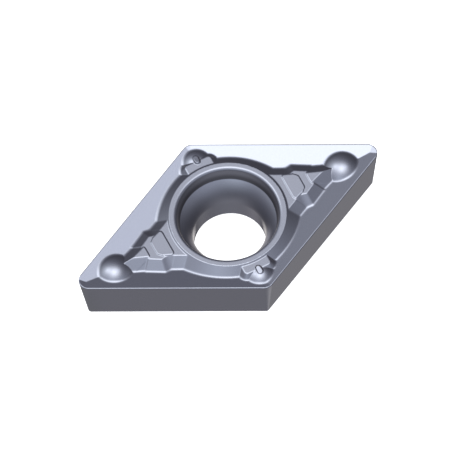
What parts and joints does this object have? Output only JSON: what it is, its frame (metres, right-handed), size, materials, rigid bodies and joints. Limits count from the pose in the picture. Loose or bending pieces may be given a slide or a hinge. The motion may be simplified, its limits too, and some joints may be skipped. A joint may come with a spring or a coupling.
{
  "type": "carbide insert",
  "caption": "Rhombic positive turning insert of cemented carbide with a screw hole, rounded corners and a pressed chip breaker on its top face.",
  "frame": {"origin": "middle of the flat seat face, on the axis of the screw hole", "axes": "+X to a sharp corner, +Y to a blunt corner, +Z along the screw hole from the seat face to the chip breaker"},
  "size_m": [0.0128, 0.007, 0.0026],
  "materials": {
    "carbide": "smooth sintered cemented carbide with a thin blue-grey coating, satin to semi-gloss"
  },
  "bodies": {
    "root": {"insert": "carbide"}
  },
  "joints": []
}
